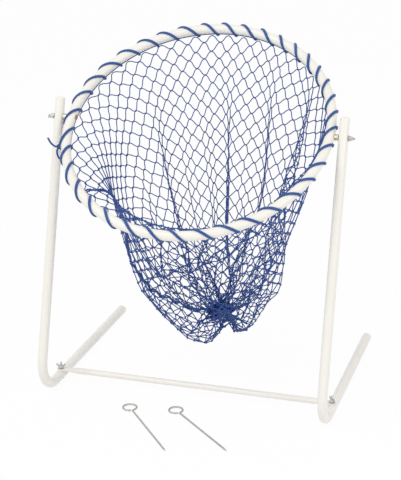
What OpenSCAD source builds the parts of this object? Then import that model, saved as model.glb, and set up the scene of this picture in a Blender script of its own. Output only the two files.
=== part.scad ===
// Tilting hoop target: a laced net bag on a tube hoop, pivoted between two bent-tube side frames,
// with two loose ground stakes. X is across the stand, +Y is the back, +Z is up, z = 0 is the ground.

/* [Hoop] */
// Outside diameter of the hoop
hoop_od = 711.2; // [640:0.1:760]
// Tilt of the hoop's plane, front edge down, in degrees
hoop_tilt = 35; // [10:1:60]

/* [Tube] */
// Outside diameter of the hoop's and the side frames' tube
tube_d = 25.4; // [22:0.1:28]
// Wall of the hoop's and the side frames' tube
tube_wall = 1.2; // [1:0.1:2]

/* [Side frames] */
// Lean of the uprights towards the back, from square with the feet, in degrees
lean = 15.5; // [8:0.5:22]
// Distance along an upright from the corner to the hoop's pivot
pivot_up = 740; // [720:1:800]
// Distance along an upright from the pivot to the tube's top end
top_past_pivot = 47; // [30:1:80]
// Length of a foot from the corner to the tube's end
foot_length = 626; // [560:1:700]
// Centreline radius of the bend between an upright and its foot
bend_radius = 76; // [60:1:90]
// Gap between the hoop and an upright, which a spacer fills
pivot_gap = 9.7; // [9:0.1:14]
// Height of the domed end caps
cap_dome = 6; // [4:0.5:9]

/* [Crossbar] */
// Outside diameter of the crossbar's tube
bar_d = 16; // [14:0.5:18]
// Distance of the crossbar behind the corner
bar_back = 146; // [130:1:170]
// Thickness of the crossbar's flattened ends
bar_flat = 2.6; // [2.4:0.1:4]

/* [Fasteners] */
// Diameter of the bolts
bolt_d = 6; // [5:0.1:6.5]
// Diameter of the bolts' domed heads
head_d = 15; // [13:0.5:17]
// Height of the bolts' domed heads
head_h = 3; // [2:0.5:4]
// Reach of a wing nut's wings from its axis
wing_reach = 13.5; // [11:0.5:15]

/* [Lacing] */
// Diameter of the lacing cord
lace_d = 5; // [3:0.5:6]
// Turns of the lacing round the hoop
lace_turns = 37; // [24:1:44]
// Share of a turn's advance that shifts from the underside to the top
lace_slant = 0.14; // [0:0.01:0.15]
// How far the turns bunch towards the back right, in degrees
lace_bunch = 6; // [0:0.5:10]

/* [Net] */
// Meshes round the net's rim
net_meshes = 20; // [12:2:22]
// Half meshes from the rim to the gather
net_rows = 16; // [8:2:18]
// Width of the net's twine
twine_w = 3; // [2:0.5:4]
// Drop from the hoop's centre to the gather
net_drop = 550; // [450:1:600]
// Distance of the gather behind the hoop's centre
net_back = 102; // [60:1:170]
// Distance of the gather to the right of the hoop's centre
net_aside = 26; // [0:1:40]
// Number of folds that run down the bag
net_folds = 7; // [5:1:9]
// Depth of the bag's folds, either way
fold_depth = 15; // [0:1:18]

/* [Ground stakes] */
// Diameter of the stakes' wire
stake_wire = 5; // [4:0.5:6]
// Outside diameter of the ring head
stake_ring = 41; // [36:1:50]
// Distance from the ring's centre to the point
stake_reach = 259; // [220:1:300]

/* [Hidden] */
$fn = 64;

// The stand
tube_r = tube_d / 2;
bore_r = tube_r - tube_wall;
hoop_r = hoop_od / 2 - tube_r;
frame_x = hoop_od / 2 + pivot_gap + tube_r;
corner_y = -230;
bend_turn = 90 + lean;
bend_reach = bend_radius * tan(bend_turn / 2);
upright_length = pivot_up + top_past_pivot;
// The stand rests on the crossbar bolts' heads and on the foot caps, so its feet slope down to the back
foot_slope = asin(head_h / (foot_length - bar_back));
foot_height = tube_r + foot_length * sin(foot_slope);
cap_plug = 14;
// How far a cap's plug runs up into its dome
cap_lap = 0.5;

// The hoop's centre, which lies on the pivots' axis
pivot_local = [0, pivot_up * sin(lean), pivot_up * cos(lean)];
hoop_centre = stand_point(pivot_local);

// Fasteners
bolt_r = bolt_d / 2;
running_fit = 0.08;
hole_r = bolt_r + running_fit;
neck_w = bolt_d + 1;
neck_h = 3;
neck_hole = neck_w + 0.3;
head_gap = 0.2;
touch_gap = 0.1;
washer_r = 8;
washer_t = 1.2;
spacer_r = 8;
nut_h = 9;
nut_r = 6.5;
nut_base_h = 2;
nut_taper = 1.5;
wing_rise = 13;
wing_t = 2.4;
wing_tip_r = 2.75;
// How far outside the thread the wings start, within the hub
wing_root = 1;
nut_bore_r = bolt_r + 0.05;
bar_r = bar_d / 2;
bar_z = tube_r + touch_gap + bar_flat / 2;
bar_flat_w = 22;
bar_flat_reach = 26;
bar_taper = 22;
bar_slit = 0.4;
bar_slit_w = 10;
bar_bolt_top = 34.3;
pivot_bolt_tip = frame_x + tube_r + 17;
left_nut_turn = 8;
right_nut_turn = -48;
pivot_nut_turn = 80;

// The lacing: it starts and ends at the knot on the left, outside the hoop
lace_r = lace_d / 2;
lace_rings = 8;
lace_clear = 0.1;
// Wide enough for the straight stretches between the rings to clear the tube
lace_ring_r = (tube_r + lace_r + lace_clear) / cos(180 / lace_rings);
lace_start = 196;
lace_bunch_from = 217;
lace_end_trim = 0.07;
lace_sides = 6;
knot_r = 6;
knot_out = tube_r + knot_r + 0.3;
knot_tails = [[-8, -26, 27], [-7, -4, -36]];

// The net hangs from the inner lower side of the hoop's tube and narrows to the gather
twine_h = twine_w / 2;
net_seat = 45;
net_seat_r = tube_r + twine_h + 0.4;
net_top_r = hoop_r - net_seat_r * cos(net_seat);
net_top_drop = net_seat_r * sin(net_seat);
gather_r = 26;
gather_tilt = hoop_tilt + 15;
// The bag narrows fast below the rim, and its bottom swells out and turns back in to the gather
rim_narrowing = 0.8;
bottom_swell = 0.28;
fold_from = 23;
net_side_gap = twine_h + 0.25;
seam_d = 4;
seam_angle = 222;
seam_out = twine_h + seam_d / 2 + 1.3;
seam_rings = 28;
seam_sides = 8;
draw_d = 5;
draw_below = draw_d / 2 + 0.8;
draw_knot_r = 6;

// The stakes: place of the ring's centre on the ground and heading of the point from straight ahead
wire_r = stake_wire / 2;
ring_r = stake_ring / 2 - wire_r;
neck_bend_r = 7;
neck_x = sqrt(pow(ring_r + neck_bend_r, 2) - pow(neck_bend_r, 2));
neck_turn = asin(neck_bend_r / (ring_r + neck_bend_r));
ring_turn = 350 - neck_turn;
point_length = 12;
point_r = 0.5;
left_stake_at = [-137, -201];
left_stake_heading = 39.5;
right_stake_at = [-16, -183];
right_stake_heading = 47;

// A point of the stand, given along and above a foot's axis from the corner, in the part's frame
function stand_point(p) = [
    p.x,
    corner_y + p.y * cos(foot_slope) + p.z * sin(foot_slope),
    foot_height - p.y * sin(foot_slope) + p.z * cos(foot_slope)
];

function unit(v) = v / norm(v);

// Puts children, drawn with the corner at the origin and the foot along +Y, on the sloping feet
module on_stand() {
    translate([0, corner_y, foot_height]) rotate([-foot_slope, 0, 0]) children();
}

// Puts children, drawn flat round the origin, into the hoop's tilted plane
module on_hoop() {
    translate(hoop_centre) rotate([hoop_tilt, 0, 0]) children();
}

// Turns children from +Z to +X or, on the left, to -X
module outward(side) {
    rotate([0, 90 * side, 0]) children();
}

/* Side frames and caps */

module tube_profile() {
    difference() {
        circle(tube_r);
        circle(bore_r);
    }
}

// Half of the bend round the origin, up to the plane y = 0, with the straight tube on its other end.
// Children are cut out of it, before it's turned to place
module half_bent_tube(straight) {
    difference() {
        rotate([0, 0, -bend_turn / 2]) difference() {
            union() {
                rotate_extrude(angle = bend_turn / 2 + 1) translate([bend_radius, 0]) tube_profile();
                translate([bend_radius, 0, 0]) rotate([90, 0, 0]) linear_extrude(straight) tube_profile();
            }
            children();
        }
        translate([0, 0, -tube_d]) cube([2 * bend_radius, tube_d, 2 * tube_d]);
    }
}

// Puts children on the straight tube's axis at a distance from the corner, with +X out of the bend
module from_corner(along) {
    translate([bend_radius, bend_reach - along, 0]) children();
}

module upright_half() {
    half_bent_tube(upright_length - bend_reach)
        from_corner(pivot_up) translate([0, 0, -tube_d]) cylinder(r = hole_r, h = 2 * tube_d);
}

// The foot has a round hole through it and a square one below for the bolt's neck
module foot_half() {
    half_bent_tube(foot_length - bend_reach) from_corner(bar_back) union() {
        rotate([0, 90, 0]) translate([0, 0, -tube_d]) cylinder(r = hole_r, h = 2 * tube_d);
        translate([0, -neck_hole / 2, -neck_hole / 2]) cube([tube_d, neck_hole, neck_hole]);
    }
}

module side_frame(side) {
    color("ivory") on_stand() translate([side * frame_x, bend_reach, bend_radius])
        rotate([90, 0, 90]) rotate([0, 0, 180 - lean + bend_turn / 2]) union() {
            upright_half();
            mirror([0, 1, 0]) foot_half();
        }
}

// A plug with a domed head, standing on the tube's end at the origin
module end_cap() {
    dome_r = (tube_r * tube_r + cap_dome * cap_dome) / (2 * cap_dome);
    color("whitesmoke") union() {
        translate([0, 0, -cap_plug]) cylinder(r = bore_r - 0.05, h = cap_plug + cap_lap);
        intersection() {
            translate([0, 0, cap_dome - dome_r]) sphere(dome_r);
            translate([0, 0, touch_gap / 2]) cylinder(r = tube_d, h = tube_d);
        }
    }
}

module top_cap(side) {
    on_stand() translate([side * frame_x, 0, 0]) rotate([-lean, 0, 0])
        translate([0, 0, upright_length]) end_cap();
}

module foot_cap(side) {
    on_stand() translate([side * frame_x, foot_length, 0]) rotate([-90, 0, 0]) end_cap();
}

/* Crossbar */

// One flattened end with its taper, from the round tube at the origin outward along +X
module bar_end() {
    difference() {
        union() {
            hull() {
                rotate([0, 90, 0]) cylinder(r = bar_r, h = 0.1, $fn = 32);
                translate([bar_taper, -bar_flat_w / 2, -bar_flat / 2]) cube([0.1, bar_flat_w, bar_flat]);
            }
            translate([bar_taper, -bar_flat_w / 2, -bar_flat / 2])
                cube([bar_flat_reach, bar_flat_w, bar_flat]);
            translate([bar_taper + bar_flat_reach, 0, -bar_flat / 2])
                cylinder(r = bar_flat_w / 2, h = bar_flat);
        }
        translate([bar_taper + bar_flat_reach, 0, -bar_d]) cylinder(r = hole_r, h = 2 * bar_d);
    }
}

// The tube is hollow, and its bore narrows to a slit through the flattened ends
module crossbar() {
    half = frame_x - bar_flat_reach - bar_taper;
    color("ivory") on_stand() translate([0, bar_back, bar_z]) difference() {
        union() {
            translate([-half, 0, 0]) rotate([0, 90, 0]) cylinder(r = bar_r, h = 2 * half);
            translate([half, 0, 0]) bar_end();
            mirror([1, 0, 0]) translate([half, 0, 0]) bar_end();
        }
        translate([-half, 0, 0]) rotate([0, 90, 0]) cylinder(r = bar_r - tube_wall, h = 2 * half);
        translate([-frame_x, -bar_slit_w / 2, -bar_slit / 2]) cube([2 * frame_x, bar_slit_w, bar_slit]);
    }
}

/* Fasteners */

// A carriage bolt with the underside of its domed head at the origin and its shank along +Z
module carriage_bolt(length) {
    dome_r = (head_d * head_d / 4 + head_h * head_h) / (2 * head_h);
    color("silver") union() {
        intersection() {
            translate([0, 0, dome_r - head_h]) sphere(dome_r);
            translate([0, 0, -head_h - 1]) cylinder(r = head_d, h = head_h + 1);
        }
        translate([-neck_w / 2, -neck_w / 2, -head_h / 2]) cube([neck_w, neck_w, neck_h + head_h / 2]);
        cylinder(r = bolt_r, h = length - 1);
        translate([0, 0, length - 1]) cylinder(r1 = bolt_r, r2 = bolt_r - 0.8, h = 1);
    }
}

module washer() {
    color("silver") difference() {
        cylinder(r = washer_r, h = washer_t);
        translate([0, 0, -1]) cylinder(r = hole_r, h = washer_t + 2);
    }
}

// One wing's outline, from the hub outward along +X and up along +Y
module wing_outline() {
    polygon([
        [nut_bore_r + wing_root, 1], [nut_r, 1], [wing_reach - 3, 6], [wing_reach, wing_rise - 3],
        [wing_reach - 2 * wing_tip_r, wing_rise - 3], [nut_bore_r + wing_root, nut_h - 1]
    ]);
    translate([wing_reach - wing_tip_r, wing_rise - wing_tip_r]) circle(wing_tip_r);
}

// A wing nut that stands on the origin
module wing_nut() {
    color("silver") difference() {
        union() {
            cylinder(r = nut_r, h = nut_base_h);
            translate([0, 0, nut_base_h])
                cylinder(r1 = nut_r, r2 = nut_r - nut_taper, h = nut_h - nut_base_h);
            for (turn = [0, 180]) rotate([90, 0, turn])
                translate([0, 0, -wing_t / 2]) linear_extrude(wing_t) wing_outline();
        }
        translate([0, 0, -1]) cylinder(r = nut_bore_r, h = wing_rise + 2);
    }
}

// The seat of a crossbar bolt's washer, on top of the crossbar's flattened end
bar_seat = bar_z + bar_flat / 2 + touch_gap;

module on_bar_bolt(side) {
    on_stand() translate([side * frame_x, bar_back, 0]) children();
}

module crossbar_bolt(side) {
    on_bar_bolt(side) translate([0, 0, -tube_r]) carriage_bolt(bar_bolt_top + tube_r);
}

module crossbar_washers() {
    for (side = [-1, 1]) on_bar_bolt(side) translate([0, 0, bar_seat]) washer();
}

module crossbar_wing_nut(side, turn) {
    on_bar_bolt(side) translate([0, 0, bar_seat + washer_t + touch_gap]) rotate([0, 0, turn]) wing_nut();
}

/* Hoop and pivots */

// The pivots' axis runs along X through the hoop's centre, and its seats follow outward
module on_pivot(side, out) {
    translate(hoop_centre + [side * out, 0, 0]) outward(side) children();
}

module hoop() {
    color("ivory") difference() {
        on_hoop() rotate_extrude($fn = 128) translate([hoop_r, 0]) circle(tube_r);
        on_hoop() rotate_extrude($fn = 128) translate([hoop_r, 0]) circle(bore_r);
        for (side = [-1, 1]) {
            on_pivot(side, hoop_r - tube_d) cylinder(r = hole_r, h = 2 * tube_d);
            on_pivot(side, hoop_r - tube_d) translate([-neck_hole / 2, -neck_hole / 2, 0])
                cube([neck_hole, neck_hole, tube_d]);
        }
    }
}

module pivot_bolt(side) {
    head_seat = hoop_r - tube_r - head_gap;
    on_pivot(side, head_seat) carriage_bolt(pivot_bolt_tip - head_seat);
}

module pivot_spacers() {
    for (side = [-1, 1]) on_pivot(side, hoop_od / 2 + touch_gap) color("goldenrod") difference() {
        cylinder(r = spacer_r, h = pivot_gap - 2 * touch_gap);
        translate([0, 0, -1]) cylinder(r = hole_r, h = pivot_gap + 2);
    }
}

module pivot_washers() {
    for (side = [-1, 1]) on_pivot(side, frame_x + tube_r + touch_gap) washer();
}

module pivot_wing_nut(side) {
    on_pivot(side, frame_x + tube_r + washer_t + 2 * touch_gap) rotate([0, 0, pivot_nut_turn]) wing_nut();
}

/* Lacing */

// Angle round the hoop of an evenly counted angle, bunched towards the back right
function bunched(angle) = angle + lace_bunch * sin(angle - lace_bunch_from);

// Angle round the hoop after turn t: the cord runs clockwise, more of the way over the top of the tube
function lace_angle(t) =
    bunched(lace_start - 360 / lace_turns * (t + lace_slant * (1 - cos(360 * t))));

// Point on the lacing's centreline after turn t, in the hoop's plane: outside at whole turns, then on top
function lace_point(t) =
    let (a = lace_angle(t), r = hoop_r + lace_ring_r * cos(360 * t))
    [r * cos(a), r * sin(a), lace_ring_r * sin(360 * t)];

// Centre of the hoop's tube beside the lacing after turn t
function lace_core(t) = let (a = lace_angle(t)) [hoop_r * cos(a), hoop_r * sin(a), 0];

function lace_section(t) =
    let (
        along = unit(lace_point(t + 0.01) - lace_point(t - 0.01)),
        across = unit(cross(along, lace_point(t) - lace_core(t))),
        out = cross(across, along)
    )
    [for (k = [0 : lace_sides - 1]) let (a = 360 * k / lace_sides)
        lace_point(t) + lace_r * (cos(a) * out + sin(a) * across)];

// Faces of a tube of rings with sides points each, closed at both ends
function tube_faces(rings, sides) = concat(
    [[for (k = [0 : sides - 1]) k]],
    [for (i = [0 : rings - 2], k = [0 : sides - 1], half = [0, 1])
        let (a = i * sides + k, b = i * sides + (k + 1) % sides)
        half == 0 ? [a, a + sides, b] : [b, a + sides, b + sides]],
    [[for (k = [sides - 1 : -1 : 0]) (rings - 1) * sides + k]]
);

lace_steps = lace_turns * lace_rings;
lace_times = [for (i = [0 : lace_steps])
    lace_end_trim + (lace_turns - 2 * lace_end_trim) * i / lace_steps];

module lacing_cord() {
    color("steelblue") on_hoop() polyhedron(
        points = [for (t = lace_times) for (p = lace_section(t)) p],
        faces = tube_faces(lace_steps + 1, lace_sides)
    );
}

// Least gap between the lacing's turns, from points more than half a turn apart
lace_points = [for (t = lace_times) lace_point(t)];
lace_gap = min([for (i = [0 : lace_steps - lace_rings]) for (j = [i + 5 : i + lace_rings])
    norm(lace_points[j] - lace_points[i])]) - lace_d;
echo(str("lacing: least gap to itself ", lace_gap, " mm"));
lace_length = 2 * PI * norm([lace_ring_r, hoop_r / lace_turns]) * lace_turns;
echo(str("lacing: length ", lace_length / 1000, " m"));

// A round-ended length of cord from the origin to a point
module cord_end(to) {
    rotate([0, acos(to.z / norm(to)), atan2(to.y, to.x)]) rotate_extrude() union() {
        square([lace_r, norm(to)]);
        translate([0, norm(to)]) intersection() {
            circle(lace_r);
            square(lace_r);
        }
    }
}

// The knot that joins the lacing's ends, with its two tails, outside the hoop's left
module lacing_knot() {
    knot_angle = lace_angle(0);
    color("steelblue") on_hoop() rotate([0, 0, knot_angle]) translate([hoop_r + knot_out, 0, 0])
        rotate([0, 0, -knot_angle]) union() {
            sphere(knot_r);
            for (to = knot_tails) cord_end(to);
        }
}

/* Net */

// Centre, plane and radius of the net's ring at share t of the way down
net_top = net_top_drop * [0, sin(hoop_tilt), -cos(hoop_tilt)];
net_reach = [net_aside, net_back, -net_drop] - net_top;
function net_centre(t) = hoop_centre + net_top + [
    net_reach.x * (1 - pow(1 - t, 4)),
    net_reach.y * (1 - pow(1 - t, 1.7)),
    net_reach.z * ((1 + bottom_swell) * t - bottom_swell * pow(t, 5))
];
function net_radius(t) =
    gather_r + (net_top_r - gather_r) * (1 - rim_narrowing * pow(t, 0.8)) * (1 - pow(t, 6));
function net_ring_tilt(t) = hoop_tilt + (gather_tilt - hoop_tilt) * t * t;
function net_fold(t, a) = fold_depth * sin(180 * t) * cos(net_folds * (a - fold_from));

// Directions out of the bag and round it at angle a
function net_out(t, a) =
    let (tilt = net_ring_tilt(t)) [cos(a), sin(a) * cos(tilt), sin(a) * sin(tilt)];
function net_round(t, a) =
    let (tilt = net_ring_tilt(t)) [-sin(a), cos(a) * cos(tilt), cos(a) * sin(tilt)];
function net_point(t, a) = net_centre(t) + (net_radius(t) + net_fold(t, a)) * net_out(t, a);

// The rim's knots sit midway between turns of the lacing, on the tube's inner lower side
lace_seat_turn = 0.5 + net_seat / 360;
function rim_angle(k) =
    let (turn = floor(k * lace_turns / net_meshes) + lace_seat_turn)
    (lace_angle(turn) + lace_angle(turn + 1)) / 2;

// Angle of knot k in a row, counted the way of the lacing, with odd rows half a mesh on
function knot_angle(row, k) = row == 0 ? rim_angle(k)
    : bunched(lace_start - 360 / lace_turns - 360 / net_meshes * (k + (row % 2) / 2));

// A twine zigzags between neighbouring knots, hand +1 towards the next mesh and -1 towards the one before
function twine_point(k, hand, row) =
    let (
        t = row / net_rows,
        a = knot_angle(row, row % 2 == 0 || hand > 0 ? k : k - 1),
        side = (row % 2 == 0 ? -hand : hand) * net_side_gap
    )
    [net_point(t, a) + side * net_round(t, a), net_out(t, a), net_round(t, a)];

module twine(k, hand) {
    knots = [for (row = [0 : net_rows]) twine_point(k, hand, row)];
    polyhedron(
        points = [for (q = knots) for (c = [[1, 1], [1, -1], [-1, -1], [-1, 1]])
            q[0] + twine_h * (c[0] * q[1] + c[1] * q[2])],
        faces = tube_faces(net_rows + 1, 4)
    );
}

module net() {
    color("midnightblue") for (k = [0 : net_meshes - 1], hand = [-1, 1]) twine(k, hand);
}

// Direction square with the bag, outward, at share t of the way down and angle a
function net_normal(t, a) = unit(cross(net_point(t + 0.005, a) - net_point(t - 0.005, a), net_round(t, a)));

// The cord that joins the net's two side edges, outside the meshes from the rim to the gather
module net_seam_cord() {
    function at(i) =
        let (t = 0.03 + 0.96 * i / seam_rings)
        net_point(t, seam_angle) + seam_out * net_normal(t, seam_angle);
    function section(i) =
        let (
            along = unit(at(i + 0.1) - at(i - 0.1)),
            across = unit(cross([0, 1, 0], along)),
            up = cross(along, across)
        )
        [for (k = [0 : seam_sides - 1]) let (a = 360 * k / seam_sides)
            at(i) + seam_d / 2 * (cos(a) * across + sin(a) * up)];
    color("midnightblue") polyhedron(
        points = [for (i = [0 : seam_rings]) for (p = section(i)) p],
        faces = tube_faces(seam_rings + 1, seam_sides)
    );
}

// The drawn ring of cord that closes the bag, with its knot in front
module drawstring() {
    color("midnightblue") translate(net_centre(1)) rotate([gather_tilt, 0, 0])
        translate([0, 0, -draw_below]) union() {
            rotate_extrude() translate([gather_r, 0]) circle(draw_d / 2);
            translate([0, -gather_r - 3, -draw_knot_r / 2]) sphere(draw_knot_r);
        }
}

/* Ground stakes */

// A wire stake along +X with its ring round the origin, lying on the ground: the wire bends out of
// the shank's line at the neck, goes round the ring and ends beside the neck
module ground_stake() {
    color("silver") translate([0, 0, wire_r]) union() {
        rotate([0, 0, neck_turn]) rotate_extrude(angle = ring_turn) translate([ring_r, 0]) circle(wire_r);
        difference() {
            translate([neck_x, neck_bend_r, 0]) rotate([0, 0, 180 + neck_turn])
                rotate_extrude(angle = 100 - neck_turn) translate([neck_bend_r, 0]) circle(wire_r);
            translate([neck_x, -stake_ring / 2, -stake_wire]) cube(stake_ring);
        }
        translate([neck_x, 0, 0]) rotate([0, 90, 0])
            cylinder(r = wire_r, h = stake_reach - point_length - neck_x);
        translate([stake_reach - point_length, 0, 0]) rotate([0, 90, 0])
            cylinder(r1 = wire_r, r2 = point_r, h = point_length);
    }
}

module stake(at, heading) {
    translate([at.x, at.y, 0]) rotate([0, 0, heading - 90]) ground_stake();
}

side_frame(-1);  // left_side_frame
side_frame(1);  // right_side_frame
top_cap(-1);  // left_top_cap
top_cap(1);  // right_top_cap
foot_cap(-1);  // left_foot_cap
foot_cap(1);  // right_foot_cap
crossbar();
crossbar_bolt(-1);  // left_crossbar_bolt
crossbar_bolt(1);  // right_crossbar_bolt
crossbar_washers();
crossbar_wing_nut(-1, left_nut_turn);  // left_crossbar_wing_nut
crossbar_wing_nut(1, right_nut_turn);  // right_crossbar_wing_nut
hoop();
pivot_bolt(-1);  // left_pivot_bolt
pivot_bolt(1);  // right_pivot_bolt
pivot_spacers();
pivot_washers();
pivot_wing_nut(-1);  // left_pivot_wing_nut
pivot_wing_nut(1);  // right_pivot_wing_nut
lacing_cord();
lacing_knot();
net();
net_seam_cord();
drawstring();
stake(left_stake_at, left_stake_heading);  // left_stake
stake(right_stake_at, right_stake_heading);  // right_stake
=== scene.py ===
# %% [markdown]
# # A tilting hoop target with a laced net bag
# Two bent-tube side frames carry a tube hoop on two pivot bolts. A knotted net bag is laced to the
# hoop with a blue cord, and two wire stakes lie in front.
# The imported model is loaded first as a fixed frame. Its tubes, caps, washers, spacers and stakes
# stay as they are and only get finishes. The cords and the net are made here, at their real mesh
# count, and so are the threads of the bolts and the round edges of the wing nuts.

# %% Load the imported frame
import math

import bpy
import numpy as np
from mathutils import Matrix, Vector


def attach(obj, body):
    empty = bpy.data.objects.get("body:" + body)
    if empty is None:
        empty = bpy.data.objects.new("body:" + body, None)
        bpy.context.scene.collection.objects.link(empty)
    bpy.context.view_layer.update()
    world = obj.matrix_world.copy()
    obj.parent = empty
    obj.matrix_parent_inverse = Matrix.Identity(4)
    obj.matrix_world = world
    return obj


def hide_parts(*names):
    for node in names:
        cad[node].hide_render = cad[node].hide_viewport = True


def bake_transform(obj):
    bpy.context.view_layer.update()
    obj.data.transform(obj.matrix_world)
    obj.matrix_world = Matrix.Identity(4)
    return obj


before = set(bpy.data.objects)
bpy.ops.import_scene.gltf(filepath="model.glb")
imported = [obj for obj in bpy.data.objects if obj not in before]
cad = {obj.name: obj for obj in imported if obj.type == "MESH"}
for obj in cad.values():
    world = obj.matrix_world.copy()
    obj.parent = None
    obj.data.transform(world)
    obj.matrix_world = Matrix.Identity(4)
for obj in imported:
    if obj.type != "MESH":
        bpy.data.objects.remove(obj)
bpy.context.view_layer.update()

mm = 0.001

# %% [markdown]
# The camera looks down at the target from the front right. Its place, aim and focal length are kept
# as numbers, and its axes are built from the angles, so nothing depends on Blender's render size.
# The lens is long, and a small shift sets the render's middle a little below and left of the axis.
# The focal length and the shift are in pixels of a render that is 480 pixels high.

# %% Place the camera
render_high = 480
focal = 1418.0
axis_right, axis_up = 30, 25
camera_at = (1.0425, -3.3513, 1.6859)
yaw, pitch, roll = (math.radians(a) for a in (16.031, 18.933, 0.021))
ahead = Vector((-math.sin(yaw) * math.cos(pitch), math.cos(yaw) * math.cos(pitch), -math.sin(pitch)))
level = Vector((math.cos(yaw), math.sin(yaw), 0))
upright = level.cross(ahead)
right = math.cos(roll) * level + math.sin(roll) * upright
up = math.cos(roll) * upright - math.sin(roll) * level


def add_object(name, data):
    """An object that shows the data, linked into the scene."""
    made = bpy.data.objects.new(name, data)
    bpy.context.scene.collection.objects.link(made)
    return made


lens = bpy.data.cameras.new("camera")
lens.sensor_width = 36
lens.lens = focal * lens.sensor_width / render_high
lens.shift_x = -axis_right / render_high
lens.shift_y = -axis_up / render_high
lens.clip_end = 50
camera = add_object("camera", lens)
camera.matrix_world = Matrix.Translation(camera_at) @ Matrix((right, up, -ahead)).transposed().to_4x4()
bpy.context.scene.camera = camera
print("lens of", round(lens.lens, 1), "mm at", [round(c, 2) for c in camera_at])

# %% [markdown]
# The hoop's plane leans with its front edge down. One helper turns an angle round the hoop, a
# distance out from its centreline and a height above its plane into a place in the scene, and takes
# whole arrays, so a cord of thousands of points is one line.

# %% Measure the hoop
hoop_centre = np.array([0, -27.791, 728.449]) * mm
hoop_tilt = math.radians(35)
hoop_r, tube_r = 342.9 * mm, 12.7 * mm
across = np.array([1.0, 0, 0])
to_back = np.array([0, math.cos(hoop_tilt), math.sin(hoop_tilt)])
off_plane = np.array([0, -math.sin(hoop_tilt), math.cos(hoop_tilt)])


def on_hoop(angle, out, rise):
    """A place at an angle round the hoop, out from its centreline and up from its plane."""
    angle, out, rise = (np.asarray(v, float)[..., None] for v in (angle, out, rise))
    spoke = np.cos(angle) * across + np.sin(angle) * to_back
    return hoop_centre + (hoop_r + out) * spoke + rise * off_plane


print("the hoop is", round(2 * (hoop_r + tube_r) / mm), "mm across and leans",
      round(math.degrees(hoop_tilt)), "degrees")

# %% [markdown]
# Every cord here is a round or pressed tube along a path. A bevelled curve could draw it, but a mesh
# of its own keeps the ends, the faces and the UV map in hand, and many equally long paths go into
# one mesh at once. A frame that is carried along the path without twisting keeps the tube's sides
# straight. The UV map holds the length along the cord in metres and the share round it, which the
# twine's material uses for its lay.

# %% Sweep a tube along a path
def length(v):
    """The lengths of vectors, with their last axis kept."""
    return np.sqrt((v * v).sum(-1, keepdims=True))


def sweep(paths, radius, sides, closed=False, facing=None, wide=1.0):
    """Corners, faces, UV corners and end faces of tubes along paths of the same number of points.

    With facing, the tube is pulled flat: its radius is the one along facing, and it is wide times
    that across.
    """
    paths = np.asarray(paths, float)
    many, points = paths.shape[:2]
    if closed:
        along = np.roll(paths, -1, 1) - np.roll(paths, 1, 1)
    else:
        along = np.gradient(paths, axis=1)
    along /= length(along)
    if facing is None:
        lead = np.where(np.abs(along[:, 0, 2:]) > 0.8, across, [0.0, 0, 1])
        beside = np.empty_like(paths)
        for k in range(points):
            lead = lead - (lead * along[:, k]).sum(-1, keepdims=True) * along[:, k]
            lead /= length(lead)
            beside[:, k] = lead
    else:
        beside = facing - (facing * along).sum(-1, keepdims=True) * along
        beside /= length(beside)
    above = np.cross(along, beside)
    turn = 2 * math.pi * np.arange(sides) / sides
    spokes = np.cos(turn)[:, None] * beside[:, :, None] + wide * np.sin(turn)[:, None] * above[:, :, None]
    radius = np.broadcast_to(radius, (many, points))[..., None, None]
    corners = (paths[:, :, None] + radius * spokes).reshape(-1, 3)

    steps = points if closed else points - 1
    p, k, s = (g.ravel() for g in np.meshgrid(
        np.arange(many), np.arange(steps), np.arange(sides), indexing="ij"))
    next_k, next_s = (k + 1) % points, (s + 1) % sides

    def corner(ring, side):
        return (p * points + ring) * sides + side

    faces = np.stack([corner(k, s), corner(next_k, s), corner(next_k, next_s), corner(k, next_s)], 1)

    reach = np.zeros((many, points + 1))
    reach[:, 1:points] = np.cumsum(length(np.diff(paths, axis=1))[..., 0], 1)
    reach[:, points] = reach[:, points - 1] + length(paths[:, 0] - paths[:, -1])[..., 0]
    u = np.stack([reach[p, k], reach[p, k + 1], reach[p, k + 1], reach[p, k]], 1)
    v = np.stack([s, s, s + 1, s + 1], 1) / sides
    ends = []
    if not closed:
        first = np.arange(many)[:, None] * points * sides + np.arange(sides)[::-1]
        last = (np.arange(many)[:, None] * points + points - 1) * sides + np.arange(sides)
        ends = np.concatenate([first, last]).tolist()
    return corners, faces, np.stack([u, v], -1), ends


def cord_piece(name, parts, finish):
    """One smooth mesh from swept parts, with the finish on it."""
    corners, faces, uvs, ends, start = [], [], [], [], 0
    for part in parts:
        corners.append(part[0])
        faces.append(part[1] + start)
        uvs.append(part[2].reshape(-1, 2))
        ends += [[corner + start for corner in end] for end in part[3]]
        start += len(part[0])
    uvs.append(np.zeros((sum(len(end) for end in ends), 2)))
    mesh = bpy.data.meshes.new(name)
    mesh.from_pydata(np.concatenate(corners).tolist(), [], np.concatenate(faces).tolist() + ends)
    layer = mesh.uv_layers.new(name="lay")
    layer.data.foreach_set("uv", np.concatenate(uvs).ravel())
    mesh.shade_smooth()
    mesh.materials.append(finish)
    print(name, "has", len(mesh.polygons), "faces")
    return add_object(name, mesh)


trial = sweep([[(0, 0, 0), (0, 0, 1)]], 0.01, 8)
print("a straight cord of 8 sides takes", len(trial[0]), "corners and",
      len(trial[1]) + len(trial[3]), "faces")

# %% [markdown]
# Each finish is a small graph of shader nodes. A helper makes the Principled shader and adds nodes
# by their plain names, and the numbers that are the same all over a surface are set on its sockets.
# Nearly every finish needs clouds and fine grain, so noise and bump have a helper each.

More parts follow.
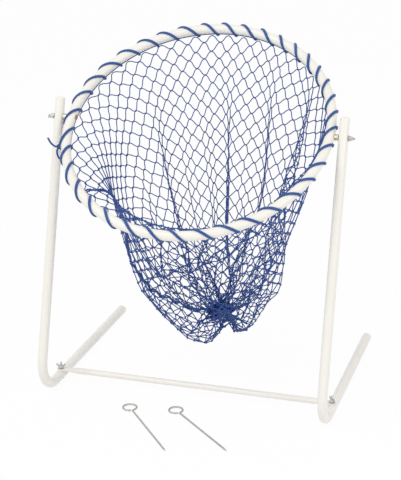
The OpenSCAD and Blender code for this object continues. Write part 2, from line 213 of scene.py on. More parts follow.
# %% Start a finish
def new_finish(name, roughness, metallic=0.0):
    """A material, its graph's node maker and a way to link a value to its Principled shader."""
    material = bpy.data.materials.new(name)
    material.use_nodes = True
    tree = material.node_tree
    shader = tree.nodes["Principled BSDF"]
    shader.inputs["Roughness"].default_value = roughness
    shader.inputs["Metallic"].default_value = metallic

    def add(kind, values=(), **settings):
        node = tree.nodes.new("ShaderNode" + kind)
        for key, value in settings.items():
            setattr(node, key, value)
        for key, value in dict(values).items():
            if isinstance(value, bpy.types.NodeSocket):
                tree.links.new(value, node.inputs[key])
            else:
                node.inputs[key].default_value = value
        return node

    def give(socket, value):
        tree.links.new(value, shader.inputs[socket])

    return material, add, give


def blend_colours(add, share, low, high):
    """A colour that goes from low to high with a share from 0 to 1."""
    mix = add("Mix", data_type="RGBA")
    mix.inputs[6].default_value = (*low, 1)
    mix.inputs[7].default_value = (*high, 1)
    mix.id_data.links.new(share, mix.inputs[0])
    return mix.outputs[2]


def noise(add, place, scale, detail):
    """A cloudy value round a half, with scale clouds to the metre."""
    return add("TexNoise", {"Vector": place, "Scale": scale, "Detail": detail}).outputs[0]


def bumps(add, height, strength, distance):
    """A normal that stands for heights too small to model, distance metres high."""
    return add("Bump", {"Height": height, "Strength": strength, "Distance": distance}).outputs[0]


print("finish helpers are ready")

# %% [markdown]
# The lacing is a braided cord about 5 mm thick, and the net is laid twine of nearly 3 mm. Both show
# their strands as slanted ridges. The ridges come from one sine of the length along the cord plus
# the share round it, so they run round the cord as a real lay does. A braid has ridges of both
# hands, so it takes the higher of two such sines. The ridges also set the colour, as painted shade:
# the grooves between the strands are darker and the ridge tops lighter. Noise fades the blue in places.

# %% Mix the cord finishes
def cord_finish(name, deep, lit_ridge, pitch, strands, braided, roughness):
    material, add, give = new_finish(name, roughness)
    lay = add("SeparateXYZ", {"Vector": add("UVMap", uv_map="lay").outputs[0]})
    run = add("Math", {0: lay.outputs[0], 1: 2 * math.pi / pitch}, operation="MULTIPLY").outputs[0]
    turn = add("Math", {0: lay.outputs[1], 1: 2 * math.pi * strands}, operation="MULTIPLY").outputs[0]
    one = add("Math", {0: add("Math", {0: run, 1: turn}, operation="ADD").outputs[0]}, operation="SINE")
    height = one.outputs[0]
    if braided:
        other = add("Math", {0: run, 1: turn}, operation="SUBTRACT").outputs[0]
        two = add("Math", {0: other}, operation="SINE").outputs[0]
        height = add("Math", {0: height, 1: two}, operation="MAXIMUM").outputs[0]
    ridge = add("MapRange", {"Value": height, "From Min": -1.0, "From Max": 1.0})
    place = add("TexCoord").outputs["Object"]
    fade = noise(add, place, 60.0, 6.0)
    # painted shade: the colour is darker in the grooves between the strands and lighter on the ridge tops;
    # the noise only varies the tone
    share = add("Math", {0: ridge.outputs[0], 1: fade}, operation="MULTIPLY")
    give("Base Color", blend_colours(add, share.outputs[0], deep, lit_ridge))
    fuzz = noise(add, place, 2400.0, 3.0)
    rough = add("Math", {0: fuzz, 1: 0.35, 2: ridge.outputs[0]}, operation="MULTIPLY_ADD")
    give("Normal", bumps(add, rough.outputs[0], 0.5, 0.0005))
    shader = material.node_tree.nodes["Principled BSDF"]
    shader.inputs["Sheen Weight"].default_value = 0.3
    shader.inputs["Sheen Roughness"].default_value = 0.4
    return material


lacing_blue = cord_finish("lacing_blue", (0.006, 0.041, 0.195), (0.028, 0.132, 0.43),
                          pitch=0.006, strands=5, braided=True, roughness=0.6)
net_blue = cord_finish("net_blue", (0.003, 0.037, 0.21), (0.015, 0.125, 0.5),
                       pitch=0.004, strands=3, braided=False, roughness=0.65)
print("two cord finishes made")

# %% [markdown]
# The lacing goes round the tube 37 times. It climbs the outer side, crosses over the top and runs
# down the inner side, and most of its advance happens there. It is a soft braid, so the pull flattens
# it on the tube, and hands never space the turns quite evenly. A thin edge cord holds the net's rim
# against the tube's inner lower side, and the lacing lifts a little where it passes over it. Angles
# round the hoop are in degrees here, from its right side to its back, and reaches are in turns.

# %% Lace the cord round the hoop
lace_half, lace_wide, edge_r = 2.3 * mm, 1.6, 1.2 * mm
lace_turns, lace_start = 37, 196
turn_points = 48
late_advance = 0.14
closer, closest_at = 6, 217
seat_turn = 0.5 + 45 / 360
knot_shift, knot_lift = 2.4, 3.5 * mm
edge_reach, lift_reach, shift_reach = 0.05, 0.05, 0.4
hair = 0.1 * mm


def lace_angle(turns):
    """Angle round the hoop, in radians, after a number of turns."""
    even = lace_start - 360 / lace_turns * (turns + late_advance * (1 - np.cos(2 * math.pi * turns)))
    return np.radians(even + closer * np.sin(np.radians(even - closest_at)))


def lace_path(turns):
    """Places of the lacing's middle, over the edge cord once a turn and lifted into its knot."""
    over_edge = 2 * edge_r * np.exp(-(((turns % 1) - seat_turn) / edge_reach) ** 2)
    from_end = np.minimum(turns, lace_turns - turns)
    into_knot = knot_lift * np.exp(-(from_end / lift_reach) ** 2)
    off_middle = tube_r + lace_half + hair + over_edge + into_knot
    by_hand = 0.3 * np.sin(1.9 * turns) + 0.25 * np.sin(4.7 * turns + 1)
    wander = np.radians(by_hand + knot_shift * np.exp(-(from_end / shift_reach) ** 2))
    return on_hoop(lace_angle(turns) + wander, off_middle * np.cos(2 * math.pi * turns),
                   off_middle * np.sin(2 * math.pi * turns))


turns = np.linspace(0, lace_turns, lace_turns * turn_points)
lacing_path = lace_path(turns)
off_tube = lacing_path - on_hoop(lace_angle(turns), 0, 0)
lacing = cord_piece("lacing", [sweep(
    [lacing_path], lace_half, 16, facing=off_tube[None], wide=lace_wide)], lacing_blue)
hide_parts("lacing_cord")
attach(lacing, "hoop")
print("the lacing is", round(float(length(np.diff(lacing_path, axis=0)).sum()), 2), "m long")

# %% [markdown]
# The two ends of the lacing are tied together outside the hoop's left. The knot is an overhand
# knot, which is a trefoil drawn small and pulled flat, with the two tails leaving it. Each tail is a
# smooth curve through four places, bowed a little, as a stiff cord end is.

# %% Tie the lacing's knot
trefoil_size, trefoil_r, tail_r = 1.7, 2.3 * mm, 2.5 * mm
knot_off_tube = 6.3 * mm
tail_ends = (((-12, -38, 33), (-1, 0, -6)), ((5, -8, -30), (-4, -3, 2)))


def smooth_curve(points, count):
    """Count places on a smooth curve through points, by Catmull-Rom pieces."""
    points = np.asarray(points, float)
    ends = np.concatenate([2 * points[:1] - points[1:2], points, 2 * points[-1:] - points[-2:-1]])
    s = np.linspace(0, len(points) - 1 - 1e-6, count)
    k = s.astype(int)
    t = (s - k)[:, None]
    a, b, c, d = ends[k], ends[k + 1], ends[k + 2], ends[k + 3]
    return 0.5 * (2 * b + (c - a) * t + (2 * a - 5 * b + 4 * c - d) * t * t
                  + (3 * b - a - 3 * c + d) * t ** 3)


knot_angle = lace_angle(np.array(0.0)) + math.radians(knot_shift)
knot_at = on_hoop(knot_angle, tube_r + knot_off_tube, 0)
round_knot = np.linspace(0, 2 * math.pi, 60, endpoint=False)
trefoil = np.stack([
    np.sin(round_knot) + 2 * np.sin(2 * round_knot),
    np.cos(round_knot) - 2 * np.cos(2 * round_knot),
    -1.3 * np.sin(3 * round_knot)], 1) * trefoil_size * mm
knot_loops = knot_at + trefoil @ np.array([off_plane, to_back, across])
tails = []
for end, bow in tail_ends:
    end, bow = np.array(end) * mm, np.array(bow) * mm
    tails.append(smooth_curve([
        knot_at, knot_at + end * 0.35 + bow, knot_at + end * 0.7 + bow, knot_at + end], 16))
knot = cord_piece("lacing_tie", [
    sweep([knot_loops], trefoil_r, 12, closed=True), sweep(tails, tail_r, 12)], lacing_blue)
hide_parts("lacing_knot")
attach(knot, "hoop")

# %% [markdown]
# The net is a diamond mesh of twines that are knotted wherever they cross. Its knots are numbered by
# rows from the rim down, and every other row stands half a mesh to the side. A bar is the twine from
# one knot to the next. The pairs of knots are sorted into groups in which no knot comes twice, so
# that a whole group can be moved in one line of array code.

# %% Count the net's knots and bars
meshes, rows = 44, 37
bar, mesh_wide, mesh_high = 28.3 * mm, 38.9 * mm, 40.8 * mm
crowding, crowded_at = 9, 205


def knot_number(row, place):
    """A knot's number, counted round the bag and row by row."""
    return row * meshes + place % meshes


def bars():
    """Pairs of knots that a twine joins, in four groups that share no knot."""
    groups = []
    for first in (0, 1):
        for hand in (0, 1):
            row, place = (g.ravel() for g in np.meshgrid(
                np.arange(first, rows, 2), np.arange(meshes), indexing="ij"))
            step = -hand if first == 0 else hand
            groups.append((knot_number(row, place), knot_number(row + 1, place + step)))
    return groups


def mesh_widths():
    """Pairs of knots across a mesh and down a mesh, in groups that share no knot."""
    groups = []
    for first in (0, 1):
        row, place = (g.ravel() for g in np.meshgrid(
            np.arange(1, rows), np.arange(first, meshes, 2), indexing="ij"))
        groups.append((knot_number(row, place), knot_number(row, place + 1), mesh_wide))
    for first in range(4):
        row, place = (g.ravel() for g in np.meshgrid(
            np.arange(first, rows - 1, 4), np.arange(meshes), indexing="ij"))
        groups.append((knot_number(row, place), knot_number(row + 2, place), mesh_high))
    return groups


def knot_turns():
    """The angle round the bag of each knot, and each row's share of the way down."""
    row, place = np.arange(rows + 1)[:, None], np.arange(meshes)[None, :]
    angle = 2 * math.pi * (place + 0.5 * (row % 2)) / meshes
    return angle + math.radians(crowding) * np.sin(angle - math.radians(crowded_at)), row / rows


print("the net has", (rows + 1) * meshes, "knots and", sum(len(pair[0]) for pair in bars()), "bars")

# %% [markdown]
# The net bag is not modelled by eye. Its twines have a fixed length, so its knots are let fall from
# the rim in small steps and pulled back wherever a twine is longer than that. The twine's stiffness
# keeps the meshes a little open. This is position-based dynamics, here in a few lines of array
# code, and it gives the folds and the bulge round the gather that the real net has. Where the folds
# come depends on the shape it is let go in, so that has a few shallow waves. Masses are counted as
# lightness, one over kilograms, and a lightness of 0 holds the rim's knots still.

# %% Let the net fall
steps_a_second = 400
rim_r, rim_drop = 330 * mm, 12 * mm
first_folds = ((6, 0.007, 5.71), (3, 0.007, 4.6), (5, 0.005, 2.54))
let_go_at, let_go_taper = (35, -11, -520), 0.75
net_mass, gather_light = 0.27, 100.0
mesh_give, shortest_bar = 0.05, 0.93
mouth_r, mouth_pull = 12 * mm, 0.9
drag, late_drag, late_from = 0.995, 0.98, 0.7


def hang_net(steps):
    """Places of the knots after they have fallen and settled, and the gather's place."""
    dt = 1 / steps_a_second
    angle, share = knot_turns()
    share = share[..., None]
    low = hoop_centre + np.array(let_go_at) * mm
    spoke = np.cos(angle)[..., None] * across + np.sin(angle)[..., None] * (
        to_back * (1 - share) + np.array([0, 1.0, 0]) * share)
    waves = 1 + share * sum(
        deep * np.sin(number * angle + turn) for number, deep, turn in first_folds)[..., None]
    knots = hoop_centre * (1 - share) + low * share + rim_r * (1 - let_go_taper * share) * spoke * waves
    knots[0] = hoop_centre + rim_r * spoke[0] - rim_drop * off_plane

    gather = (rows + 1) * meshes
    at = np.concatenate([knots.reshape(-1, 3), low[None]])
    speed = np.zeros_like(at)
    light = np.full(gather + 1, gather / net_mass)
    light[gather] = gather_light
    light[:meshes] = 0
    free = light > 0
    twines, widths = bars(), mesh_widths()
    last_row = np.arange(rows * meshes, gather)

    def pull(at, a, b, rest, soft, keep):
        """Moves the knots a and b to rest apart, by as much of the error as keep lets through."""
        gap = at[b] - at[a]
        long = np.sqrt((gap * gap).sum(1))
        give = light[a] + light[b] + soft * steps_a_second ** 2
        move = (keep(long - rest) / np.where(give == 0, 1, give) / np.maximum(long, 1e-9))[:, None] * gap
        at[a] += light[a][:, None] * move
        at[b] -= light[b][:, None] * move

    for step in range(steps):
        speed[free, 2] -= 9.81 * dt
        speed *= drag if step < steps * late_from else late_drag
        new = at + speed * dt
        for a, b, rest in widths:
            pull(new, a, b, rest, mesh_give, lambda x: x)
        for a, b in twines:
            pull(new, a, b, shortest_bar * bar, 0, lambda x: np.minimum(x, 0))
        for a, b in twines:
            pull(new, a, b, bar, 0, lambda x: np.maximum(x, 0))
        gap = new[last_row] - new[gather]
        long = length(gap)
        move = mouth_pull * np.maximum(long - mouth_r, 0) / np.maximum(long, 1e-9) * gap
        new[last_row] -= move
        new[gather] += move.sum(0) / light[meshes] / (1 / light[gather] + meshes / light[meshes])
        for a, b in twines[::-1]:
            pull(new, a, b, bar, 0, lambda x: np.maximum(x, 0))
        speed = (new - at) / dt
        at = new
    return at[:gather].reshape(rows + 1, meshes, 3), at[gather]


net_knots, gather_at = hang_net(4000)
print("the gather hangs", round(float(hoop_centre[2] - gather_at[2]) / mm), "mm below the hoop's centre")

# %% [markdown]
# Netting that has just fallen is sharply creased low down, where the meshes crowd. A bag in use has
# been shaken, so each knot moves part of the way to the mean of its neighbours, the more the lower
# it is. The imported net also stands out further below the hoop's front than the fallen one, as stiff
# new twine does, so the upper front is let out towards it. Both come after the fall, because they
# change the bag's shape without changing how it folds.

# %% Shake the bag out
swell_out, swell_at, swell_reach = 40 * mm, 0.3, 0.2
rim_fade, gather_fade = 0.15, 0.2


def even_out(knots, passes):
    """The knots with the corners of the lower rows rounded off, as a hand that shakes the bag does."""
    low = np.linspace(0, 1, rows + 1)[1:-1, None, None] ** 2
    for _ in range(passes):
        beside = np.roll(knots, 1, 1) + np.roll(knots, -1, 1)
        mean = 0.25 * (beside[1:-1] + knots[2:] + knots[:-2])
        knots[1:-1] += 0.5 * low * (mean - knots[1:-1])
    return knots


def swell(knots):
    """The knots with the upper front of the bag let out, and its rim and gather left in place."""
    angle, share = knot_turns()
    hump = np.exp(-((share - swell_at) / swell_reach) ** 2)
    hump = hump * np.minimum(1, share / rim_fade) * np.minimum(1, (1 - share) / gather_fade)
    knots[..., 1] -= swell_out * (0.5 - 0.5 * np.sin(angle)) * hump
    return knots


net_knots = swell(even_out(net_knots, 2))
print("the bag is", round(float(np.ptp(net_knots[..., 0])) / mm), "mm wide and",
      round(float(np.ptp(net_knots[..., 1])) / mm), "mm from front to back")

# %% [markdown]
# Each bar of the net leaves its knot sideways, turns steeply down and runs into the next knot
# sideways again, because the knots are tied across the net and the twine is stiff. That rounds the
# meshes to the shape of scales. A Hermite curve does it, with its end directions along the rows and
# as long as the row is open there. A short fat ring across each crossing stands for the sheet bend.

# %% Tie the net's twine
twine_r, ring_r, ring_twine_r, ring_tilt = 1.4 * mm, 2.0, 1.45 * mm, 0.8
lean_along, lean_aside = 0.3, 0.62
down = np.zeros_like(net_knots)
down[1:-1] = net_knots[2:] - net_knots[:-2]
down[0], down[-1] = down[1], down[-2]
down /= np.maximum(length(down), 1e-9)
row_way = 0.5 * (np.roll(net_knots, -1, 1) - np.roll(net_knots, 1, 1)).reshape(-1, 3)
starts, ends = (np.concatenate([pair[k] for pair in bars()]) for k in (0, 1))
side = np.concatenate([np.full(len(pair[0]), way) for pair, way in zip(bars(), (1, -1, -1, 1))])[:, None]
flat, flat_down = net_knots.reshape(-1, 3), down.reshape(-1, 3)
a, b = flat[starts], flat[ends]
lean_a, lean_b = (lean_along * (b - a) + lean_aside * side * row_way[knot] for knot in (starts, ends))
t = np.linspace(0, 1, 8)[:, None, None]
bar_paths = ((2 * t ** 3 - 3 * t ** 2 + 1) * a + (t ** 3 - 2 * t ** 2 + t) * lean_a
             + (3 * t ** 2 - 2 * t ** 3) * b + (t ** 3 - t ** 2) * lean_b)

place = np.roll(net_knots, -1, 1) - net_knots
place = (place / np.maximum(length(place), 1e-9)).reshape(-1, 3)[meshes:]
drop = flat_down[meshes:]
facing = np.cross(place, drop)
facing /= np.maximum(length(facing), 1e-9)
turn = np.linspace(0, 2 * math.pi, 8, endpoint=False)[None, :, None]
rings = flat[meshes:, None] + ring_r * mm * (np.cos(turn) * place[:, None] + np.sin(turn) * facing[:, None])
rings = rings + ring_tilt * mm * np.cos(turn) * drop[:, None]
net_bag = cord_piece("net_bag", [
    sweep(bar_paths.transpose(1, 0, 2), twine_r, 5), sweep(rings, ring_twine_r, 5, closed=True)], net_blue)
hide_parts("net")

# %% [markdown]
# The rim's meshes hang on a thin edge cord, one closed ring on the tube's inner lower side. It is
# held by the lacing and stays with the hoop, so it isn't soft like the rest of the bag.

# %% Add the edge cord
edge_points = 8 * meshes
edge_turn = np.linspace(0, 2 * math.pi, edge_points, endpoint=False)
seat = tube_r + edge_r + hair
edge_path = on_hoop(edge_turn, -seat * math.cos(math.pi / 4) * np.ones(edge_points),
                    -seat * math.sin(math.pi / 4) * np.ones(edge_points))
edge = cord_piece("net_edge", [sweep([edge_path], edge_r, 8, closed=True)], net_blue)

# %% [markdown]
# The bag is a flat net whose side edges are joined. Two thicker cords lie side by side from the rim
# to the gather and are lashed together. They follow one column of knots, so they take the bag's
# folds with them, and the lashing winds round them square to the middle of the bag.

# %% Lash the seam
seam_at, seam_winds = 27, 95
seam_apart, seam_r = 2.4, 1.9 * mm
lashing_wide, lashing_high, lashing_r = 4.6, 2.9, 1.1 * mm
column = np.array([
    net_knots[row, seam_at] if row % 2 == 0 else
    0.5 * (net_knots[row, seam_at] + net_knots[row, seam_at - 1]) for row in range(rows + 1)])
spine = smooth_curve(column, rows * 36)
along = np.gradient(spine, axis=0)
along /= length(along)
middle = net_knots.mean(1)
inward = np.stack([np.interp(np.linspace(0, rows, len(spine)), np.arange(rows + 1), middle[:, k])
                   for k in range(3)], 1) - spine
aside = np.cross(along, inward)
aside /= length(aside)
outward = np.cross(along, aside)
wind = np.linspace(0, 2 * math.pi * seam_winds, len(spine))[:, None]
lashing = spine + lashing_wide * mm * np.cos(wind) * aside + lashing_high * mm * np.sin(wind) * outward
side_cords = [spine[::6] + way * seam_apart * mm * aside[::6] for way in (-1, 1)]
seam = cord_piece("net_seam", [sweep(side_cords, seam_r, 8), sweep([lashing], lashing_r, 6)], net_blue)
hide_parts("net_seam_cord")

# %% [markdown]
# The last row's meshes are drawn together by a cord that goes round five times. The loose loops of
# those meshes stand out round it as a frill, no two alike, so their sizes are drawn by chance from a
# fixed seed. Each loop is a closed path that leaves the tie, widens and comes back.

# %% Tie the gather
tie_tilt = math.radians(20)
wrap_turns, wrap_points, wrap_r = 5, 240, 2.2 * mm
frill_loops, frill_r, frill_from = 76, 1.35 * mm, 8 * mm
tie_at = net_knots[-1].mean(0)
tie_back = np.array([0, math.cos(tie_tilt), math.sin(tie_tilt)])
tie_up = np.array([0, -math.sin(tie_tilt), math.cos(tie_tilt)])


def round_tie(turn, reach, rise):
    """A place at an angle round the drawn mouth, out from its middle and up from its plane."""
    turn, reach, rise = (np.asarray(v, float)[..., None] for v in (turn, reach, rise))
    return tie_at + reach * (np.cos(turn) * across + np.sin(turn) * tie_back) + rise * tie_up


wraps = np.linspace(0, 2 * math.pi * wrap_turns, wrap_points)
wrapped = round_tie(wraps, 11 * mm + 1.5 * mm * np.sin(wraps / wrap_turns),
                    np.linspace(-7, 7, wrap_points) * mm)
chance = np.random.default_rng(7)
loop_turn = 2 * math.pi * (np.arange(frill_loops) + chance.uniform(-0.35, 0.35, frill_loops)) / frill_loops
loop_reach = chance.uniform(22, 46, frill_loops) * mm
loop_half = chance.uniform(4, 8, frill_loops) * mm
loop_rise = chance.uniform(-14, 16, frill_loops) * mm
go = np.linspace(0, 2 * math.pi, 20, endpoint=False)
away = (1 - np.cos(go)) / 2
out = frill_from + (loop_reach - frill_from)[:, None] * away
sideways = loop_half[:, None] * np.sin(go) * (0.3 + 0.7 * away)
frill = round_tie(
    loop_turn[:, None] + sideways / out, out,
    loop_rise[:, None] * away ** 2 + 5 * mm * np.sin(3 * loop_turn)[:, None])
tie = cord_piece("net_tie", [
    sweep([wrapped], wrap_r, 10), sweep(frill, frill_r, 6, closed=True)], net_blue)
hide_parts("drawstring")

# %% [markdown]
# When the hoop tilts, the real rim goes with it and the gather keeps hanging. Here the bag, its seam
# and its tie only have their places baked into their meshes. Only the edge cord is attached to the
# hoop and rides it whole.

# %% Bake the soft pieces in place
for soft in (net_bag, seam, tie):
    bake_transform(soft)
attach(edge, "hoop")

# %% [markdown]
# The tubes wear a thick white enamel. It is glossy, with a faint orange peel, and in random clouds
# it is a little warmer in some places and duller in others.

# %% Enamel the tubes
def enamel_finish():
    material, add, give = new_finish("white_enamel", 0.3)
    place = add("TexCoord").outputs["Object"]
    cloud = noise(add, place, 7.0, 5.0)
    give("Base Color", blend_colours(add, cloud, (0.85, 0.82, 0.745), (0.912, 0.892, 0.84)))
    dull = noise(add, place, 40.0, 4.0)
    give("Roughness", add("MapRange", {"Value": dull, "To Min": 0.24, "To Max": 0.4}).outputs[0])
    peel = noise(add, place, 420.0, 2.0)
    give("Normal", bumps(add, peel, 0.12, 0.0004))
    return material


def finish_node(name, finish):
    """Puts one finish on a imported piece, in place of its plain one."""
    cad[name].data.materials.clear()
    cad[name].data.materials.append(finish)


white_enamel = enamel_finish()
for name in ("left_side_frame", "right_side_frame", "crossbar", "hoop"):
    finish_node(name, white_enamel)
print("four tubes enamelled")

# %% [markdown]
# The caps are moulded plastic, a cooler white and smoother than the enamel. A moulded skin has no
# clouds of its own, only a very fine grain, so both of its noises are faint.

# %% Finish the caps
def cap_finish():
    material, add, give = new_finish("cap_white", 0.35)
    place = add("TexCoord").outputs["Object"]
    cloud = noise(add, place, 30.0, 4.0)
    give("Base Color", blend_colours(add, cloud, (0.83, 0.82, 0.79), (0.9, 0.895, 0.87)))
    grain = noise(add, place, 900.0, 2.0)
    give("Normal", bumps(add, grain, 0.1, 0.0002))
    return material


cap_white = cap_finish()
for name in ("left_top_cap", "right_top_cap", "left_foot_cap", "right_foot_cap"):
    finish_node(name, cap_white)
print("four caps finished")

# %% [markdown]
# Bolts, nuts and washers are zinc plated, the spacers have the pale yellow kind, the pivot bolts'
# heads inside the hoop have tarnished brown, and the stakes are galvanised wire. All are metal
# shaders with cloudy plating and fine scratches. The tarnish goes by the distance from the stand's
# middle, which is less for the heads than for the rest of the bolts.

# %% Plate the metal
tarnish_ends = 0.335, 0.345


def plating(name, low, high, roughness, cloud_size, tarnished=None):
    material, add, give = new_finish(name, roughness, metallic=1.0)
    place = add("TexCoord").outputs["Object"]
    cloud = noise(add, place, cloud_size, 5.0)
    colour = blend_colours(add, cloud, low, high)
    if tarnished:
        reach = add("Math", {0: add("SeparateXYZ", {"Vector": place}).outputs[0]}, operation="ABSOLUTE")
        bright = add("MapRange", {
            "Value": reach.outputs[0], "From Min": tarnish_ends[0], "From Max": tarnish_ends[1]})
        mix = add("Mix", {0: bright.outputs[0], 7: colour}, data_type="RGBA")
        mix.inputs[6].default_value = (*tarnished, 1)
        colour = mix.outputs[2]
    give("Base Color", colour)
    give("Roughness", add("MapRange", {
        "Value": cloud, "To Min": roughness - 0.1, "To Max": roughness + 0.15}).outputs[0])
    scratch = noise(add, place, 1500.0, 3.0)
    give("Normal", bumps(add, scratch, 0.15, 0.0001))
    return material


dull_zinc, light_zinc, zinc_clouds = (0.42, 0.42, 0.4), (0.72, 0.71, 0.68), 160.0
zinc = plating("bright_zinc", dull_zinc, light_zinc, 0.35, zinc_clouds)
bolt_zinc = plating("tarnished_zinc", dull_zinc, light_zinc, 0.35, zinc_clouds, (0.42, 0.29, 0.12))
yellow_zinc = plating("yellow_zinc", (0.52, 0.46, 0.33), (0.82, 0.78, 0.64), 0.35, zinc_clouds)
galvanised = plating("galvanised_wire", (0.38, 0.38, 0.36), (0.62, 0.61, 0.58), 0.4, 90.0)
for name in ("crossbar_washers", "pivot_washers"):
    finish_node(name, zinc)
for name in ("left_stake", "right_stake"):
    finish_node(name, galvanised)
finish_node("pivot_spacers", yellow_zinc)
print("metal plated")

# %% [markdown]
# A carriage bolt has a low domed head, a square neck that bites into its hole and a rolled thread of
# 1 mm pitch. It is one skin of rings along the bolt's axis, whose radius is the dome's, the square's
# and then the thread's, which falls and rises once a turn. A screw modifier could wind the thread,
# but then the head, neck and thread would be three skins that cut into each other.

# %% Roll the bolts' threads
def carriage_bolt(name, node, seat, way, long, threaded, body, finish):
    """A bolt, in mm, with its head's underside at seat and its shank along way."""
    sides, pitch, bolt_r, root_r = 32, 1.0, 3.0, 2.45
    head_high, neck_high, neck_half, dome_r = 3.0, 3.0, 3.5, 10.875
    around = 2 * math.pi * np.arange(sides) / sides
    square = neck_half / np.maximum(np.abs(np.cos(around)), np.abs(np.sin(around)))
    plain = np.ones(sides)
    rings = []
    for z in np.linspace(-head_high + 0.005, 0, 9):
        rings.append((z, math.sqrt(dome_r ** 2 - (z - dome_r + head_high) ** 2) * plain))
    rings += [(0.2, rings[-1][1] * 0.98), (0.25, square), (neck_high, square)]
    rings.append((neck_high + 0.3, bolt_r * plain))
    first = long - threaded
    for z in np.arange(first, long - 0.9, pitch / 8):
        wave = np.abs(2 * ((z / pitch - around / (2 * math.pi)) % 1) - 1)
        depth = (bolt_r - root_r) * min(1, (z - first) / 2)
        rings.append((z, bolt_r - depth * wave))
    rings += [(long - 0.4, 2.6 * plain), (long, 2.2 * plain)]
    along = np.array(way, float)
    beside = np.cross(along, [0, 1.0, 0])
    beside /= length(beside)
    above = np.cross(along, beside)
    spokes = np.cos(around)[:, None] * beside + np.sin(around)[:, None] * above
    corners = np.concatenate([np.array(seat) + z * along + r[:, None] * spokes for z, r in rings]) * mm
    k, n = (g.ravel() for g in np.meshgrid(np.arange(len(rings) - 1), np.arange(sides), indexing="ij"))
    m = (n + 1) % sides
    faces = np.stack([
        k * sides + n, k * sides + m, (k + 1) * sides + m, (k + 1) * sides + n], 1).tolist()
    faces += [list(range(sides))[::-1], [(len(rings) - 1) * sides + n for n in range(sides)]]
    mesh = bpy.data.meshes.new(name)
    mesh.from_pydata(corners.tolist(), [], faces)
    mesh.shade_smooth()
    mesh.set_sharp_from_angle(angle=math.radians(40))
    mesh.materials.append(finish)
    bolt = add_object(name, mesh)
    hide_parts(node)
    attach(bolt, body)


frame_x, pivot_head = 378.0, 330.0
corner_y, foot_high, bar_back, foot_tube_r = -230, 16.6125, 146, 12.7
foot_slope = math.asin(3 / 480)
bar_bolt_y = corner_y + bar_back * math.cos(foot_slope) - foot_tube_r * math.sin(foot_slope)
bar_bolt_z = foot_high - bar_back * math.sin(foot_slope) - foot_tube_r * math.cos(foot_slope)
for side, way in (("left", -1), ("right", 1)):
    carriage_bolt(side + "_pivot_bolt_threaded", side + "_pivot_bolt",
                  (way * pivot_head, *(hoop_centre[1:] / mm)), (way, 0, 0),
                  long=77.7, threaded=25, body="hoop", finish=bolt_zinc)
    carriage_bolt(side + "_crossbar_bolt_threaded", side + "_crossbar_bolt",
                  (way * frame_x, bar_bolt_y, bar_bolt_z), (0, math.sin(foot_slope), math.cos(foot_slope)),
                  long=47, threaded=22, body="stand", finish=zinc)
print("four bolts threaded")

# %% [markdown]
# Wing nuts are forged or cast, so nothing on them is sharp. Each solid nut is skinned again with
# small even faces, and those are smoothed until its edges are about 1 mm round. A bevel would be
# finer, but it needs clean edges all round, and the wings run into the base at odd angles.

# %% Round the wing nuts
def forged(name, node, body, finish):
    """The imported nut's shape with its edges rounded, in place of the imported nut."""
    nut = add_object(name, cad[node].data.copy())
    skin = nut.modifiers.new("skin", "REMESH")
    skin.mode = "VOXEL"
    skin.voxel_size = 0.4 * mm
    rounding = nut.modifiers.new("rounding", "SMOOTH")
    rounding.factor = 0.5
    rounding.iterations = 5
    shaped = nut.evaluated_get(bpy.context.evaluated_depsgraph_get())
    mesh = bpy.data.meshes.new_from_object(shaped)
    nut.modifiers.clear()
    nut.data = mesh
    mesh.materials.clear()
    mesh.materials.append(finish)
    mesh.shade_smooth()
    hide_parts(node)
    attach(nut, body)
    print(name, "has", len(mesh.polygons), "faces")


for place in ("pivot", "crossbar"):
    for side in ("left", "right"):
        nut = side + "_" + place + "_wing_nut"
        forged(nut + "_forged", nut, nut, zinc)

# %% [markdown]
# The target stands on a plain pale floor that runs off to white. The camera sees part of the floor's
# light as its own, by Light Path, so the ground turns white while the soft shadow stays. Reflections
# and glass see it so too, so the plated metal mirrors the same white room.

# %% Lay the floor
floor_half, floor_drop, floor_glow = 9.0, 0.0004, 0.95


def seen_rays(tree):
    """A socket that is 1 for what the camera sees, straight on, mirrored or through glass."""
    rays = tree.nodes.new("ShaderNodeLightPath").outputs
    seen = rays["Is Camera Ray"]
    for kind in ("Is Glossy Ray", "Is Transmission Ray"):
        either = tree.nodes.new("ShaderNodeMath")
        either.operation = "MAXIMUM"
        tree.links.new(seen, either.inputs[0])
        tree.links.new(rays[kind], either.inputs[1])
        seen = either.outputs[0]
    return seen


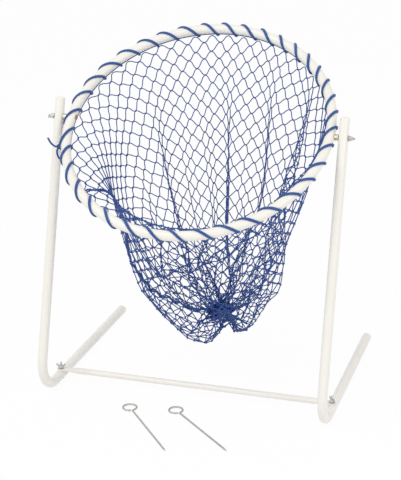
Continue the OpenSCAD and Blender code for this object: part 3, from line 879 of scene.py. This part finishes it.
def floor_finish():
    material, add, give = new_finish("pale_floor", 0.9)
    tree = material.node_tree
    shader = tree.nodes["Principled BSDF"]
    shader.inputs["Specular IOR Level"].default_value = 0.0
    cloud = noise(add, add("TexCoord").outputs["Object"], 3.0, 3.0)
    give("Base Color", blend_colours(add, cloud, (0.93, 0.93, 0.93), (0.95, 0.95, 0.95)))
    glow = add("Emission", {"Color": (1, 1, 1, 1), "Strength": 1.0})
    share = add("Math", {0: seen_rays(tree), 1: floor_glow}, operation="MULTIPLY")
    mix = add("MixShader", {0: share.outputs[0], 1: shader.outputs[0], 2: glow.outputs[0]})
    tree.links.new(mix.outputs[0], tree.nodes["Material Output"].inputs["Surface"])
    return material


floor_mesh = bpy.data.meshes.new("floor")
floor_mesh.from_pydata([
    (-floor_half, -floor_half, 0), (floor_half, -floor_half, 0),
    (floor_half, floor_half, 0), (-floor_half, floor_half, 0)], [], [(0, 1, 2, 3)])
floor_mesh.materials.append(floor_finish())
floor = add_object("floor", floor_mesh)
floor.location.z = -floor_drop
print("the floor is", 2 * floor_half, "m square")

# %% [markdown]
# The light is a studio's: a pale world, a large soft lamp high on the left in front, and a weaker
# one on the right. The world lights the object at three quarters of white, and it is plain white
# where the camera or a reflection sees it.

# %% Light the studio
room_light = 0.74


def lamp(name, at, aim, size, power):
    """A square soft lamp, size metres wide, turned from its place to its aim."""
    data = bpy.data.lights.new(name, "AREA")
    data.size = size
    data.energy = power
    light = add_object(name, data)
    light.location = at
    light.rotation_euler = (Vector(aim) - Vector(at)).to_track_quat("-Z", "Y").to_euler()


lamp("key", at=(-1.6, -2.2, 3.2), aim=(0, 0, 0.5), size=1.6, power=38)
lamp("fill", at=(2.6, -1.8, 2.0), aim=(0, 0, 0.4), size=2.0, power=21)
world = bpy.data.worlds.new("studio")
world.use_nodes = True
sky = world.node_tree
dim, bright = sky.nodes["Background"], sky.nodes.new("ShaderNodeBackground")
for white, strength in ((dim, room_light), (bright, 1.0)):
    white.inputs["Color"].default_value = (1, 1, 1, 1)
    white.inputs["Strength"].default_value = strength
mix = sky.nodes.new("ShaderNodeMixShader")
sky.links.new(seen_rays(sky), mix.inputs[0])
sky.links.new(dim.outputs[0], mix.inputs[1])
sky.links.new(bright.outputs[0], mix.inputs[2])
sky.links.new(mix.outputs[0], sky.nodes["World Output"].inputs["Surface"])
bpy.context.scene.world = world
bpy.context.scene.view_settings.view_transform = "Standard"
print("studio lit")
